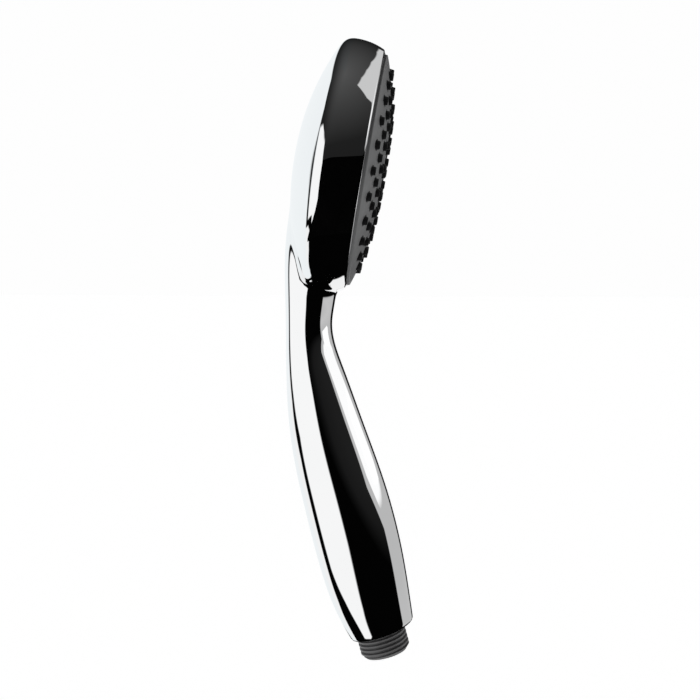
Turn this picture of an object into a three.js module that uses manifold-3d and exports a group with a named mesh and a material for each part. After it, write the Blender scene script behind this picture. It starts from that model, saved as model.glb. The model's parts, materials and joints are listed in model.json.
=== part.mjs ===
// Handheld shower head: chrome handset with a round spray head and a G 1/2 threaded inlet.
//
// Units are millimetres, +Z is up. The origin is the centre of the flat end face of the inlet.
// The spray leaves towards +X, the hose leaves downwards, and the XZ plane splits the handset in half.

import * as THREE from 'three';
import { mergeVertices } from 'three/addons/utils/BufferGeometryUtils.js';
import Module from 'manifold-3d';

const wasm = await Module();
wasm.setup();

// ---------------------------------------------------------------- driving dimensions

const GAP = 0.3; // between pieces that touch on the real handset
const WALL = 2.2; // moulded wall of the shell

// Sides of the round pieces, by size
const LARGE = 36;
const MEDIUM = 24;
const SMALL = 16;
const HOLE = 6;

// Spray head, measured from the centre of the face plate's rim along the spray direction
const FACE_CENTRE = new THREE.Vector3(-7.8, 0, 202.4);
const FACE_DIP = 9.4; // degrees the spray points below the horizontal
const FACE_R = 47;
const FACE_DOME = 6; // rise of the face plate at its centre
const FACE_DOME_POWER = 2.9; // flat in the middle, steeper at the rim
const FACE_WALL = 2;
const HEAD_LIP_Z = -1;
const HEAD_BORE_R = FACE_R + 0.4;

// Inlet, measured from its end face along its own axis
const INLET_LEAN = 15; // degrees its axis leans back from the vertical
const THREAD_R = 20.955 / 2; // G 1/2
const THREAD_PITCH = 1.814;
const THREAD_DEPTH = 1.162;
const THREAD_TURNS = 5;
const INLET_BORE_R = 7.2;
const PLUG_R = 11; // plug of the connector inside the handle
const PLUG_START = 12;
const PLUG_END = 21;
const SOCKET_START = 26; // upper socket for the waterway tube
const CONNECTOR_END = 37;

// Waterway tube
const TUBE_R = 5.2;
const TUBE_BORE_R = 3.4;
const TUBE_SOCKET_R = 5.8;

// Check valve, in the inlet's bore
const VALVE_START = 7.4;
const VALVE_SEAT = 9.2;
const VALVE_END = 21.4;
const VALVE_R = INLET_BORE_R - GAP;

// Nozzles: rings on the face plate, as radius and number of nozzles,
// and how far the first nozzle is turned from the X axis, in spacings.
const NOZZLE_RINGS = [
  { radius: 40, count: 25, turn: 0.65 },
  { radius: 33.3, count: 22, turn: 0.85 },
  { radius: 26.6, count: 18, turn: 0.3 },
  { radius: 19.9, count: 13, turn: 0.5 },
  { radius: 13.2, count: 8, turn: 0 },
  { radius: 6.5, count: 4, turn: 0.5 },
];
const NOZZLE_BASE_R = 1.85;
const NOZZLE_TIP_R = 1.55;
const NOZZLE_PROUD = 1.4;
const NOZZLE_HOLE_R = NOZZLE_BASE_R + 0.35;

// Assembly screws of the water chamber
const SCREW_COUNT = 6;
const SCREW_CIRCLE_R = 45.2;
const SCREW_R = 0.9;
const SCREW_HEAD_R = 1.6;
const BOSS_R = 1.6;
const BOSS_END = -9;

// Handle: sections along its spine. x and z place the centre, lean turns the section about Y,
// depth is half of its size fore and aft, width is half of its size from side to side.
const HANDLE_SECTIONS = [
  { x: -1.7, z: 10.2, lean: 19.5, depth: 13.8, width: 13.6 },
  { x: -5.7, z: 22, lean: 18, depth: 16, width: 15.2 },
  { x: -11, z: 42, lean: 14.5, depth: 17.7, width: 16.6 },
  { x: -17.5, z: 67.5, lean: 14, depth: 17.6, width: 16.8 },
  { x: -24.9, z: 94.8, lean: 14, depth: 15.5, width: 15.8 },
  { x: -30, z: 120, lean: 8.5, depth: 11.9, width: 14.6 },
  { x: -32.3, z: 140, lean: 2.5, depth: 9.6, width: 14.4 },
  { x: -31.6, z: 153.5, lean: 0, depth: 10.5, width: 15.6 },
  { x: -32.2, z: 166, lean: -2, depth: 9.9, width: 15.5 },
  { x: -31.6, z: 178, lean: -5, depth: 9.4, width: 13.5 },
  { x: -30, z: 191, lean: -9, depth: 7.4, width: 9 },
];
const HANDLE_CAVITY_FROM = 0.14; // how far along the spine the wide hollow starts

// ---------------------------------------------------------------- materials

function material(color, roughness, metalness) {
  return new THREE.MeshStandardMaterial({ color, roughness, metalness });
}

const CHROME = material(0xd9dadd, 0.06, 1);
const FACE_GREY = material(0x55575a, 0.45, 0);
const SILICONE = material(0x141415, 0.55, 0);
const INLET_GREY = material(0x4b4c4f, 0.5, 0);
const WHITE_POM = material(0xe6e5df, 0.4, 0);
const BLACK_RUBBER = material(0x18181a, 0.7, 0);
const STAINLESS = material(0xb5b7ba, 0.3, 1);
const BLUE_POM = material(0x3f6fa8, 0.4, 0);

// ---------------------------------------------------------------- solids

// A closed geometry as a solid, with its faces turned outwards.
function solid(geometry) {
  const bare = new THREE.BufferGeometry();
  bare.setAttribute('position', geometry.getAttribute('position').clone());
  if (geometry.index) {
    bare.setIndex(geometry.index.clone());
  }
  const merged = mergeVertices(bare, 1e-4);
  const points = merged.getAttribute('position').array;
  const corners = [];
  let volume = 0;
  for (let i = 0; i < merged.index.count; i += 3) {
    const [a, b, c] = [0, 1, 2].map((k) => merged.index.getX(i + k));
    if (a === b || b === c || c === a) {
      continue;
    }
    corners.push(a, b, c);
    const [p, q, r] = [a, b, c].map((k) => new THREE.Vector3().fromArray(points, 3 * k));
    volume += p.dot(q.cross(r));
  }
  if (volume < 0) {
    corners.reverse();
  }
  return new wasm.Manifold(
    new wasm.Mesh({
      numProp: 3,
      vertProperties: new Float32Array(points),
      triVerts: new Uint32Array(corners),
    }),
  );
}

// A profile of [radius, height] points, turned about Z. It closes on itself or ends on the axis.
function turned(profile, segments) {
  const points = profile.map(([r, z]) => new THREE.Vector2(Math.max(r, 0), z));
  const onAxis = profile[0][0] === 0 && profile[profile.length - 1][0] === 0;
  if (!onAxis) {
    points.push(points[0].clone());
  }
  return solid(new THREE.LatheGeometry(points, segments).rotateX(Math.PI / 2));
}

function disc(radius, from, to, segments) {
  return turned([[0, from], [radius, from], [radius, to], [0, to]], segments);
}

function tubeRing(inner, outer, from, to, segments) {
  return turned([[inner, from], [outer, from], [outer, to], [inner, to]], segments);
}

function oRing(ringRadius, cordRadius, z, segments) {
  const profile = [];
  const sides = 6;
  for (let k = 0; k < sides; k += 1) {
    const angle = (2 * Math.PI * k) / sides;
    profile.push([ringRadius + cordRadius * Math.cos(angle), z + cordRadius * Math.sin(angle)]);
  }
  return turned(profile, segments);
}

// Rings of points, skinned one after another and closed at both ends.
function lofted(rings) {
  const around = rings[0].length;
  const positions = rings.flat().flatMap((p) => p.toArray());
  const index = [];
  for (let row = 0; row + 1 < rings.length; row += 1) {
    for (let k = 0; k < around; k += 1) {
      const next = (k + 1) % around;
      const [a, b] = [row * around + k, row * around + next];
      const [c, d] = [a + around, b + around];
      index.push(a, b, d, a, d, c);
    }
  }
  const lastRow = (rings.length - 1) * around;
  for (let k = 1; k + 1 < around; k += 1) {
    index.push(0, k + 1, k, lastRow, lastRow + k, lastRow + k + 1);
  }
  const geometry = new THREE.BufferGeometry();
  geometry.setAttribute('position', new THREE.Float32BufferAttribute(positions, 3));
  geometry.setIndex(index);
  return solid(geometry);
}

function piped(curve, radius, steps, sides) {
  const section = new THREE.Shape();
  for (let k = 0; k < sides; k += 1) {
    const angle = (2 * Math.PI * k) / sides;
    section[k ? 'lineTo' : 'moveTo'](radius * Math.cos(angle), radius * Math.sin(angle));
  }
  section.closePath();
  return solid(new THREE.ExtrudeGeometry(section, { steps, bevelEnabled: false, extrudePath: curve }));
}

function joined(pieces) {
  return pieces.reduce((sum, piece) => sum.add(piece));
}

function cut(body, tools) {
  return body.subtract(joined(tools));
}

function placed(body, matrix) {
  return body.transform(matrix.toArray());
}

// Copies of a piece standing at one radius around Z.
function around(piece, radius, count, turn = 0) {
  const copies = [];
  for (let k = 0; k < count; k += 1) {
    const angle = (2 * Math.PI * (k + turn)) / count;
    copies.push(piece.translate([radius * Math.cos(angle), radius * Math.sin(angle), 0]));
  }
  return copies;
}

function named(name, body, look) {
  const data = body.getMesh();
  const geometry = new THREE.BufferGeometry();
  geometry.setAttribute('position', new THREE.Float32BufferAttribute(data.vertProperties, 3));
  geometry.setIndex(new THREE.Uint32BufferAttribute(data.triVerts, 1));
  geometry.computeVertexNormals();
  const mesh = new THREE.Mesh(geometry, look);
  mesh.name = name;
  return mesh;
}

// ---------------------------------------------------------------- frames

const radians = THREE.MathUtils.degToRad;

// Head frame: its Z is the spray direction, its X points down the face.
const head = new THREE.Group();
head.position.copy(FACE_CENTRE);
head.rotation.y = radians(90 + FACE_DIP);
head.updateMatrixWorld(true);

// Inlet frame: its Z runs up the inlet's axis into the handle.
const inlet = new THREE.Group();
inlet.rotation.y = radians(-INLET_LEAN);
inlet.updateMatrixWorld(true);

// ---------------------------------------------------------------- body shell

function spline(points) {
  return new THREE.CatmullRomCurve3(points, false, 'catmullrom', 0.5);
}

const spine = spline(HANDLE_SECTIONS.map((s) => new THREE.Vector3(s.x, 0, s.z)));
const girth = spline(HANDLE_SECTIONS.map((s) => new THREE.Vector3(s.depth, s.width, s.lean)));

function handleSection(u, inset, sides) {
  const centre = spine.getPoint(u);
  const size = girth.getPoint(u);
  const lean = radians(size.z);
  const ring = [];
  for (let k = 0; k < sides; k += 1) {
    const angle = (2 * Math.PI * k) / sides;
    const fore = (size.x - inset) * Math.cos(angle);
    const side = (size.y - inset) * Math.sin(angle);
    const x = centre.x + fore * Math.cos(lean);
    const z = centre.z + fore * Math.sin(lean);
    ring.push(new THREE.Vector3(x, side, z));
  }
  return ring;
}

function handleLoft(from, to, inset, steps, sides) {
  const rings = [];
  for (let k = 0; k <= steps; k += 1) {
    rings.push(handleSection(from + ((to - from) * k) / steps, inset, sides));
  }
  return lofted(rings);
}

// Back of the head: barrel-shaped side band, round shoulder, shallow dome.
function headOutside() {
  return [
    [0, HEAD_LIP_Z],
    [HEAD_BORE_R + 0.1, HEAD_LIP_Z],
    [49, -1.9],
    [49.9, -3.6],
    [51.1, -8],
    [51.5, -13],
    [51.2, -16.4],
    [49.6, -18.7],
    [46.8, -19.9],
    [41.6, -22],
    [35.3, -24.9],
    [28.2, -27.4],
    [18.6, -29.3],
    [9, -30.2],
    [0, -30.4],
  ];
}

function headCavity() {
  const floor = 1;
  return [
    [0, floor],
    [HEAD_BORE_R, floor],
    [HEAD_BORE_R, -6.2],
    [HEAD_BORE_R + 0.8, -6.9],
    [HEAD_BORE_R + 0.8, -7.9],
    [HEAD_BORE_R, -8.6],
    [HEAD_BORE_R, -16.2],
    [40.8, -19.8],
    [34.4, -22.7],
    [27.5, -25.1],
    [18, -27],
    [0, -28.1],
  ];
}

function bodyShell() {
  const outside = placed(turned(headOutside(), LARGE), head.matrixWorld).add(handleLoft(0, 1, 0, 18, 20));
  const hollows = [
    placed(turned(headCavity(), LARGE), head.matrixWorld),
    handleLoft(HANDLE_CAVITY_FROM, 0.985, WALL, 12, SMALL),
    placed(disc(PLUG_R + GAP, -5, 34, MEDIUM), inlet.matrixWorld),
    placed(disc(PLUG_R + 0.6, 18, 19.6, MEDIUM), inlet.matrixWorld),
  ];
  return cut(outside, hollows);
}

// ---------------------------------------------------------------- spray face

function faceHeight(r) {
  return FACE_DOME * (1 - (r / FACE_R) ** FACE_DOME_POWER);
}

// Points [radius, height] along the dome of the face, lowered by drop, from the axis outwards,
// closer together towards the rim, where the dome bends most.
function domeLine(toRadius, drop, steps) {
  const line = [];
  for (let k = 0; k <= steps; k += 1) {
    const r = toRadius * Math.sqrt(k / steps);
    line.push([r, faceHeight(r) - drop]);
  }
  return line;
}

function nozzlePins(bottomDrop, radiusLow, radiusHigh, proud, sides) {
  const pins = [];
  for (const ring of NOZZLE_RINGS) {
    const top = faceHeight(ring.radius) + proud;
    const low = faceHeight(ring.radius) - bottomDrop;
    const pin = turned([[0, low], [radiusLow, low], [radiusHigh, top], [0, top]], sides);
    pins.push(...around(pin, ring.radius, ring.count, ring.turn));
  }
  return pins;
}

function facePlate() {
  const skirtR = 44.6;
  const beadR = FACE_R + 0.7;
  const inside = domeLine(skirtR, FACE_WALL, 3);
  const outside = domeLine(FACE_R, 0, 5).reverse();
  const skirt = [
    [skirtR, BOSS_END],
    [FACE_R, BOSS_END],
    [FACE_R, -8.2],
    [beadR, -7.6],
    [beadR, -7.2],
    [FACE_R, -6.6],
  ];
  const plate = turned([...inside, ...skirt, ...outside], LARGE);
  const bossTop = faceHeight(SCREW_CIRCLE_R) - FACE_WALL / 2;
  const bosses = atScrews(disc(BOSS_R, BOSS_END, bossTop, 10));
  const pilots = atScrews(disc(SCREW_R + GAP, BOSS_END - 1, -2.5, HOLE));
  const holes = nozzlePins(FACE_WALL + 2, NOZZLE_HOLE_R, NOZZLE_HOLE_R, 1, HOLE);
  return cut(joined([plate, ...bosses]), [...pilots, ...holes]);
}

const MAT_DROP = FACE_WALL + GAP;
const MAT_THICK = 1.6;
const MAT_R = 43;

function nozzleMat() {
  const front = domeLine(MAT_R, MAT_DROP, 3).reverse();
  const back = domeLine(MAT_R, MAT_DROP + MAT_THICK, 3);
  const sheet = turned([...back, ...front], LARGE);
  const pins = nozzlePins(MAT_DROP + 0.5, NOZZLE_BASE_R, NOZZLE_TIP_R, NOZZLE_PROUD, HOLE);
  return joined([sheet, ...pins]);
}

const JET_DROP = MAT_DROP + MAT_THICK + GAP;
const JET_THICK = 1.8;
const PORT_R = 1.1;
const PORT_REACH = 39.2; // the outer ports stand inside the rim of the chamber

function jetPlate() {
  const front = domeLine(MAT_R, JET_DROP, 3).reverse();
  const back = domeLine(MAT_R, JET_DROP + JET_THICK, 2);
  const plate = turned([...back, ...front], LARGE);
  const ports = NOZZLE_RINGS.flatMap((ring) => {
    const port = disc(PORT_R, -12, 8, 4);
    return around(port, Math.min(ring.radius, PORT_REACH), ring.count, ring.turn);
  });
  return cut(plate, ports);
}

// ---------------------------------------------------------------- water chamber

const CHAMBER_FRONT = BOSS_END - GAP;
const CHAMBER_BACK = CHAMBER_FRONT - WALL;
const CHAMBER_R = 46.9; // of its flange
const CHAMBER_RIM_R = MAT_R + 0.3;
const CHAMBER_RIM_BORE_R = 40.4;
const CHAMBER_RIM_TOP = faceHeight(MAT_R) - JET_DROP - JET_THICK - GAP;
const CHAMBER_SEAL_R = 41.9;
const CHAMBER_SEAL_CORD_R = 0.5;
const CHAMBER_SEAL_Z = CHAMBER_RIM_TOP - 0.3;
const ELBOW_AXIS_Z = -17; // height of the socket's axis in the head frame
const ELBOW_MOUTH_X = 35;
const ELBOW_SOCKET_X = 26; // floor of the socket
const ELBOW_END_X = 14;
const ELBOW_R = 7.4;
const ELBOW_BORE_R = 3.6;

// Lays a piece along the head frame's X axis, at the elbow's height.
const elbowTurn = new THREE.Matrix4().makeRotationY(Math.PI / 2).setPosition(0, 0, ELBOW_AXIS_Z);

function elbowDisc(radius, from, to, segments) {
  return placed(disc(radius, from, to, segments), elbowTurn);
}

function atScrews(piece) {
  return around(piece, SCREW_CIRCLE_R, SCREW_COUNT, 0.5);
}

function chamberBack() {
  const plate = disc(CHAMBER_R, CHAMBER_BACK, CHAMBER_FRONT, LARGE);
  const rim = tubeRing(CHAMBER_RIM_BORE_R, CHAMBER_RIM_R, CHAMBER_FRONT - 0.5, CHAMBER_RIM_TOP, LARGE);
  const elbow = elbowDisc(ELBOW_R, ELBOW_END_X, ELBOW_MOUTH_X, SMALL);
  const port = disc(ELBOW_BORE_R, ELBOW_AXIS_Z, 0, 8).translate([ELBOW_END_X + 7, 0, 0]);
  const bore = elbowDisc(ELBOW_BORE_R, ELBOW_END_X + 3, ELBOW_MOUTH_X + 1, 8);
  const socket = elbowDisc(TUBE_SOCKET_R, ELBOW_SOCKET_X, ELBOW_MOUTH_X + 1, SMALL);
  const screwHoles = atScrews(disc(SCREW_R + GAP, CHAMBER_BACK - 1, CHAMBER_FRONT + 1, HOLE));
  const relief = elbowDisc(TUBE_R + 1.6, ELBOW_MOUTH_X, CHAMBER_R + 3, SMALL); // room for the tube
  const grooveWide = CHAMBER_SEAL_CORD_R + GAP;
  const groove = tubeRing(
    CHAMBER_SEAL_R - grooveWide,
    CHAMBER_SEAL_R + grooveWide,
    CHAMBER_SEAL_Z - grooveWide,
    CHAMBER_RIM_TOP + 1,
    LARGE,
  );
  return cut(joined([plate, rim, elbow]), [port, bore, socket, relief, groove, ...screwHoles]);
}

function chamberScrew() {
  const headTop = CHAMBER_BACK - GAP;
  const headHigh = 1.3;
  const chamfer = 0.5;
  const tip = -4;
  return turned(
    [
      [0, headTop - headHigh],
      [SCREW_HEAD_R - chamfer, headTop - headHigh],
      [SCREW_HEAD_R, headTop - headHigh + chamfer],
      [SCREW_HEAD_R, headTop],
      [SCREW_R, headTop],
      [SCREW_R, tip - SCREW_R],
      [0, tip],
    ],
    8,
  );
}

// ---------------------------------------------------------------- waterway

// The tube's ends lie on the axes of their sockets.
function onInlet(height) {
  return new THREE.Vector3(0, 0, height).applyMatrix4(inlet.matrixWorld);
}

function inHead(x, z) {
  return new THREE.Vector3(x, 0, z).applyMatrix4(head.matrixWorld);
}

const TUBE_LOW = SOCKET_START + GAP;
const TUBE_HIGH_X = ELBOW_SOCKET_X + GAP;

const waterway = spline([
  onInlet(TUBE_LOW),
  onInlet(TUBE_LOW + 4),
  onInlet(TUBE_LOW + 12),
  new THREE.Vector3(-17.5, 0, 67.5),
  new THREE.Vector3(-24.9, 0, 94.8),
  new THREE.Vector3(-30, 0, 120),
  new THREE.Vector3(-32, 0, 145),
  inHead(ELBOW_MOUTH_X + 3, ELBOW_AXIS_Z),
  inHead(ELBOW_MOUTH_X - 5, ELBOW_AXIS_Z),
  inHead(TUBE_HIGH_X, ELBOW_AXIS_Z),
]);

const SEAL_CORD_R = 0.6;
const TUBE_SEAL_R = 5;
const TUBE_GROOVE_R = 4.2;
const TUBE_GROOVE_HALF = 0.8;
const LOW_SEAL_Z = TUBE_LOW + 2.6;
const HIGH_SEAL_X = TUBE_HIGH_X + 2.6;

function tubeGroove(z) {
  return tubeRing(TUBE_GROOVE_R, TUBE_R + 1, z - TUBE_GROOVE_HALF, z + TUBE_GROOVE_HALF, SMALL);
}

function waterwayTube() {
  const outside = piped(waterway, TUBE_R, 20, 10);
  const bore = piped(waterway, TUBE_BORE_R, 20, 6);
  const lowGroove = placed(tubeGroove(LOW_SEAL_Z), inlet.matrixWorld);
  const highGroove = placed(placed(tubeGroove(HIGH_SEAL_X), elbowTurn), head.matrixWorld);
  return cut(outside, [bore, lowGroove, highGroove]);
}

// ---------------------------------------------------------------- inlet

// The thread is drawn as rings at the true pitch and depth.
function threadProfile() {
  const root = THREAD_R - THREAD_DEPTH;
  const start = 0.9;
  const profile = [[root - 0.3, 0], [root, 0.3]];
  for (let k = 0; k < THREAD_TURNS - 1; k += 1) {
    const z = start + k * THREAD_PITCH;
    profile.push([root, z]);
    profile.push([THREAD_R, z + 0.36 * THREAD_PITCH]);
    profile.push([THREAD_R, z + 0.54 * THREAD_PITCH]);
    profile.push([root, z + 0.9 * THREAD_PITCH]);
  }
  return profile;
}

const CONNECTOR_SEAL_Z = 15;
const CONNECTOR_GROOVE_R = 9.3;
const CONNECTOR_NECK_R = 8.2;
const CONNECTOR_PASSAGE_R = 4.4;
const SNAP_START = 18.2; // bead that snaps into the handle
const SNAP_R = PLUG_R + 0.25;

function inletConnector() {
  const profile = [
    [INLET_BORE_R, 0],
    ...threadProfile(),
    [THREAD_R - THREAD_DEPTH, PLUG_START],
    [PLUG_R, PLUG_START],
    [PLUG_R, CONNECTOR_SEAL_Z - 1],
    [CONNECTOR_GROOVE_R, CONNECTOR_SEAL_Z - 1],
    [CONNECTOR_GROOVE_R, CONNECTOR_SEAL_Z + 1],
    [PLUG_R, CONNECTOR_SEAL_Z + 1],
    [PLUG_R, SNAP_START],
    [SNAP_R, SNAP_START + 0.4],
    [SNAP_R, SNAP_START + 0.8],
    [PLUG_R, SNAP_START + 1.2],
    [PLUG_R, PLUG_END],
    [CONNECTOR_NECK_R, PLUG_END + 1.5],
    [CONNECTOR_NECK_R, CONNECTOR_END],
    [TUBE_SOCKET_R, CONNECTOR_END],
    [TUBE_SOCKET_R, SOCKET_START],
    [CONNECTOR_PASSAGE_R, SOCKET_START],
    [CONNECTOR_PASSAGE_R, VALVE_END + GAP],
    [INLET_BORE_R, VALVE_END + GAP],
  ];
  return turned(profile, MEDIUM);
}

function filterScreen() {
  const screen = disc(VALVE_R, 1.2, 2, SMALL);
  const mesh = [];
  const pitch = 2.9;
  for (let row = -2; row <= 2; row += 1) {
    for (let column = -2; column <= 2; column += 1) {
      const [x, y] = [row * pitch, column * pitch];
      if (Math.hypot(x, y) < VALVE_R - 1.3) {
        mesh.push(disc(1.2, 0, 3, 4).translate([x, y, 0]));
      }
    }
  }
  return cut(screen, mesh);
}

// ---------------------------------------------------------------- flow regulator

const REGULATOR_START = 2.4;
const REGULATOR_END = VALVE_START - GAP;
const REGULATOR_CHANNEL = 1.9; // depth of the ring's channel from the inlet side
const REGULATOR_HUB_R = 2.1;
const REGULATOR_CHANNEL_R = 5.6;
const REGULATOR_RING_R = 3.85; // middle of the channel

function regulatorBody() {
  const floor = REGULATOR_START + REGULATOR_CHANNEL;
  const profile = [
    [0, REGULATOR_START],
    [REGULATOR_HUB_R, REGULATOR_START],
    [REGULATOR_HUB_R, floor],
    [REGULATOR_CHANNEL_R, floor],
    [REGULATOR_CHANNEL_R, REGULATOR_START],
    [VALVE_R, REGULATOR_START],
    [VALVE_R, REGULATOR_END],
    [0, REGULATOR_END],
  ];
  return cut(turned(profile, MEDIUM), around(disc(0.9, 0, 10, HOLE), REGULATOR_RING_R, 6));
}

function regulatorRing() {
  return oRing(REGULATOR_RING_R, 0.75, REGULATOR_START + REGULATOR_CHANNEL / 2, SMALL);
}

// ---------------------------------------------------------------- check valve

const POPPET_HEAD_R = 4.6;
const POPPET_NOSE_R = 1.6;
const POPPET_HEAD = VALVE_SEAT + 1.2;
const POPPET_STEM_R = 1;
const POPPET_STEM_END = 19.4;
const RETAINER_START = 17;
const SPRING_START = POPPET_HEAD + 1.3 + GAP;
const SPRING_END = RETAINER_START - GAP;
const SPRING_R = 2.4;
const WIRE_R = 0.28;
const SPRING_TURNS = 4;
const VALVE_SEAL_Z = 12;
const VALVE_SEAT_R = 2.9;
const VALVE_CHAMBER_R = 5.7;
const VALVE_GROOVE_R = 6.1;
const VALVE_GROOVE_HALF = 0.7;

function checkValveBody() {
  const profile = [
    [VALVE_SEAT_R, VALVE_START],
    [VALVE_R, VALVE_START],
    [VALVE_R, VALVE_SEAL_Z - VALVE_GROOVE_HALF],
    [VALVE_GROOVE_R, VALVE_SEAL_Z - VALVE_GROOVE_HALF],
    [VALVE_GROOVE_R, VALVE_SEAL_Z + VALVE_GROOVE_HALF],
    [VALVE_R, VALVE_SEAL_Z + VALVE_GROOVE_HALF],
    [VALVE_R, RETAINER_START - GAP],
    [VALVE_CHAMBER_R, RETAINER_START - GAP],
    [VALVE_CHAMBER_R, VALVE_SEAT],
    [VALVE_SEAT_R, VALVE_SEAT],
  ];
  return turned(profile, MEDIUM);
}

function checkValvePoppet() {
  return turned(
    [
      [0, VALVE_SEAT - 1],
      [POPPET_NOSE_R - 0.5, VALVE_SEAT - 1],
      [POPPET_NOSE_R, VALVE_SEAT - 0.4],
      [POPPET_NOSE_R, POPPET_HEAD],
      [POPPET_HEAD_R, POPPET_HEAD],
      [POPPET_HEAD_R, POPPET_HEAD + 0.7],
      [POPPET_STEM_R, POPPET_HEAD + 1.3],
      [POPPET_STEM_R, POPPET_STEM_END],
      [0, POPPET_STEM_END],
    ],
    SMALL,
  );
}

function poppetSeal() {
  return tubeRing(POPPET_NOSE_R + GAP, POPPET_HEAD_R - 0.2, VALVE_SEAT + 0.15, POPPET_HEAD - 0.2, SMALL);
}

class Helix extends THREE.Curve {
  getPoint(u, target = new THREE.Vector3()) {
    const angle = 2 * Math.PI * SPRING_TURNS * u;
    const low = SPRING_START + WIRE_R;
    const high = SPRING_END - WIRE_R;
    return target.set(SPRING_R * Math.cos(angle), SPRING_R * Math.sin(angle), low + (high - low) * u);
  }
}

function checkValveSpring() {
  return piped(new Helix(), WIRE_R, 10 * SPRING_TURNS, 5);
}

function checkValveRetainer() {
  const high = 1.6;
  const hub = tubeRing(POPPET_STEM_R + GAP, 2.6, RETAINER_START, RETAINER_START + high, 12);
  const hoop = tubeRing(VALVE_CHAMBER_R, VALVE_R, RETAINER_START, VALVE_END - GAP, MEDIUM);
  const arms = [];
  for (let k = 0; k < 3; k += 1) {
    const arm = new THREE.BoxGeometry(4, 1.2, high).translate(4, 0, RETAINER_START + high / 2);
    arms.push(solid(arm.rotateZ((2 * Math.PI * k) / 3)));
  }
  return joined([hub, hoop, ...arms]);
}

// ---------------------------------------------------------------- assembly

const handset = new THREE.Group();
handset.add(named('body_shell', bodyShell(), CHROME));
handset.add(named('waterway_tube', waterwayTube(), WHITE_POM));
handset.add(head, inlet);

head.add(named('face_plate', facePlate(), FACE_GREY));
head.add(named('nozzle_mat', nozzleMat(), SILICONE));
head.add(named('jet_plate', jetPlate(), WHITE_POM));
head.add(named('chamber_back', chamberBack(), WHITE_POM));
const chamberSeal = oRing(CHAMBER_SEAL_R, CHAMBER_SEAL_CORD_R, CHAMBER_SEAL_Z, LARGE);
head.add(named('chamber_seal', chamberSeal, BLACK_RUBBER));
for (let k = 0; k < SCREW_COUNT; k += 1) {
  const screw = named(`chamber_screw_${k + 1}`, chamberScrew(), STAINLESS);
  const angle = (2 * Math.PI * (k + 0.5)) / SCREW_COUNT;
  screw.position.set(SCREW_CIRCLE_R * Math.cos(angle), SCREW_CIRCLE_R * Math.sin(angle), 0);
  head.add(screw);
}
const highSeal = placed(oRing(TUBE_SEAL_R, SEAL_CORD_R, HIGH_SEAL_X, SMALL), elbowTurn);
head.add(named('tube_seal_upper', highSeal, BLACK_RUBBER));

inlet.add(named('inlet_connector', inletConnector(), INLET_GREY));
inlet.add(named('connector_seal', oRing(10.3, 0.7, CONNECTOR_SEAL_Z, MEDIUM), BLACK_RUBBER));
inlet.add(named('tube_seal_lower', oRing(TUBE_SEAL_R, SEAL_CORD_R, LOW_SEAL_Z, SMALL), BLACK_RUBBER));
inlet.add(named('filter_screen', filterScreen(), STAINLESS));
inlet.add(named('regulator_body', regulatorBody(), BLUE_POM));
inlet.add(named('regulator_ring', regulatorRing(), BLACK_RUBBER));
inlet.add(named('check_valve_body', checkValveBody(), WHITE_POM));
inlet.add(named('check_valve_seal', oRing(6.6, 0.42, VALVE_SEAL_Z, MEDIUM), BLACK_RUBBER));
inlet.add(named('check_valve_poppet', checkValvePoppet(), BLUE_POM));
inlet.add(named('poppet_seal', poppetSeal(), BLACK_RUBBER));
inlet.add(named('check_valve_spring', checkValveSpring(), STAINLESS));
inlet.add(named('check_valve_retainer', checkValveRetainer(), WHITE_POM));

export default handset;
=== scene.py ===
"""Looks of a chrome handheld shower head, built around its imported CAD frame.

Shapes are worked out in millimetres in the frame of the handset (origin at the inlet's end face, +Z up,
spray towards +X) and become metres when a mesh is made.
"""

import json
import math

import bmesh
import bpy
import numpy as np
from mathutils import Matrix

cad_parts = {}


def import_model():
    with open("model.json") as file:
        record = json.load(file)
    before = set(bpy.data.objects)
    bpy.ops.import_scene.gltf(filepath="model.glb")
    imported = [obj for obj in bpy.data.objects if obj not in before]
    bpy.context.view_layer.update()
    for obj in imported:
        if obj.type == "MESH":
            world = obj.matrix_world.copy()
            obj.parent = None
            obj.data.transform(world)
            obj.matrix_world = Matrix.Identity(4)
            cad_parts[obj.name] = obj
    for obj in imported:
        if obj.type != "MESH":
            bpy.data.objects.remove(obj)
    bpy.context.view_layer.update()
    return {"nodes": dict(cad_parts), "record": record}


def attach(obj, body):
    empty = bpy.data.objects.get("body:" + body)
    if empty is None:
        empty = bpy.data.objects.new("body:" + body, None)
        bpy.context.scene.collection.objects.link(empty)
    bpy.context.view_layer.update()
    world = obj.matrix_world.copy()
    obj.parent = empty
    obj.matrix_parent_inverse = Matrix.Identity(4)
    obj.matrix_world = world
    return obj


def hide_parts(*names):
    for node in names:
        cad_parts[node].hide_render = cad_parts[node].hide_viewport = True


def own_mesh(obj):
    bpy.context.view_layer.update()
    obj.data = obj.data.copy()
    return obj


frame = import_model()

MM = 0.001

# ---------------------------------------------------------------- driving dimensions, in mm and degrees

GAP = 0.3  # between pieces that touch on the real handset

# Head, measured from the centre of the face plate's rim along the spray direction.
FACE_CENTRE = np.array([-7.8, 0.0, 202.4])
FACE_DIP = 9.4
FACE_R = 47.0
FACE_DOME = 6.0
FACE_DOME_POWER = 2.9
FACE_WALL = 2.0
SKIRT_R = 44.6
SKIRT_Z = -9.0

# Opening for the face plate, and the lip round it, which falls away outwards.
HEAD_BORE_R = FACE_R + 0.4
HEAD_LIP_Z = -1.0
LIP_SLOPE = 22.0
LIP_BLEND = 0.5

# Band round the head: its greatest radius, where that is, and the radius that it is swept with.
BAND_R = 51.5
BAND_Z = -13.0
BAND_SWEEP_R = 25.5

# Dome behind, which rises from BACK_Z on the axis by BACK_RISE at BACK_EDGE_R.
BACK_Z = -30.4
BACK_RISE = 10.5
BACK_EDGE_R = 46.8
BACK_POWER = 2.2

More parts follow.
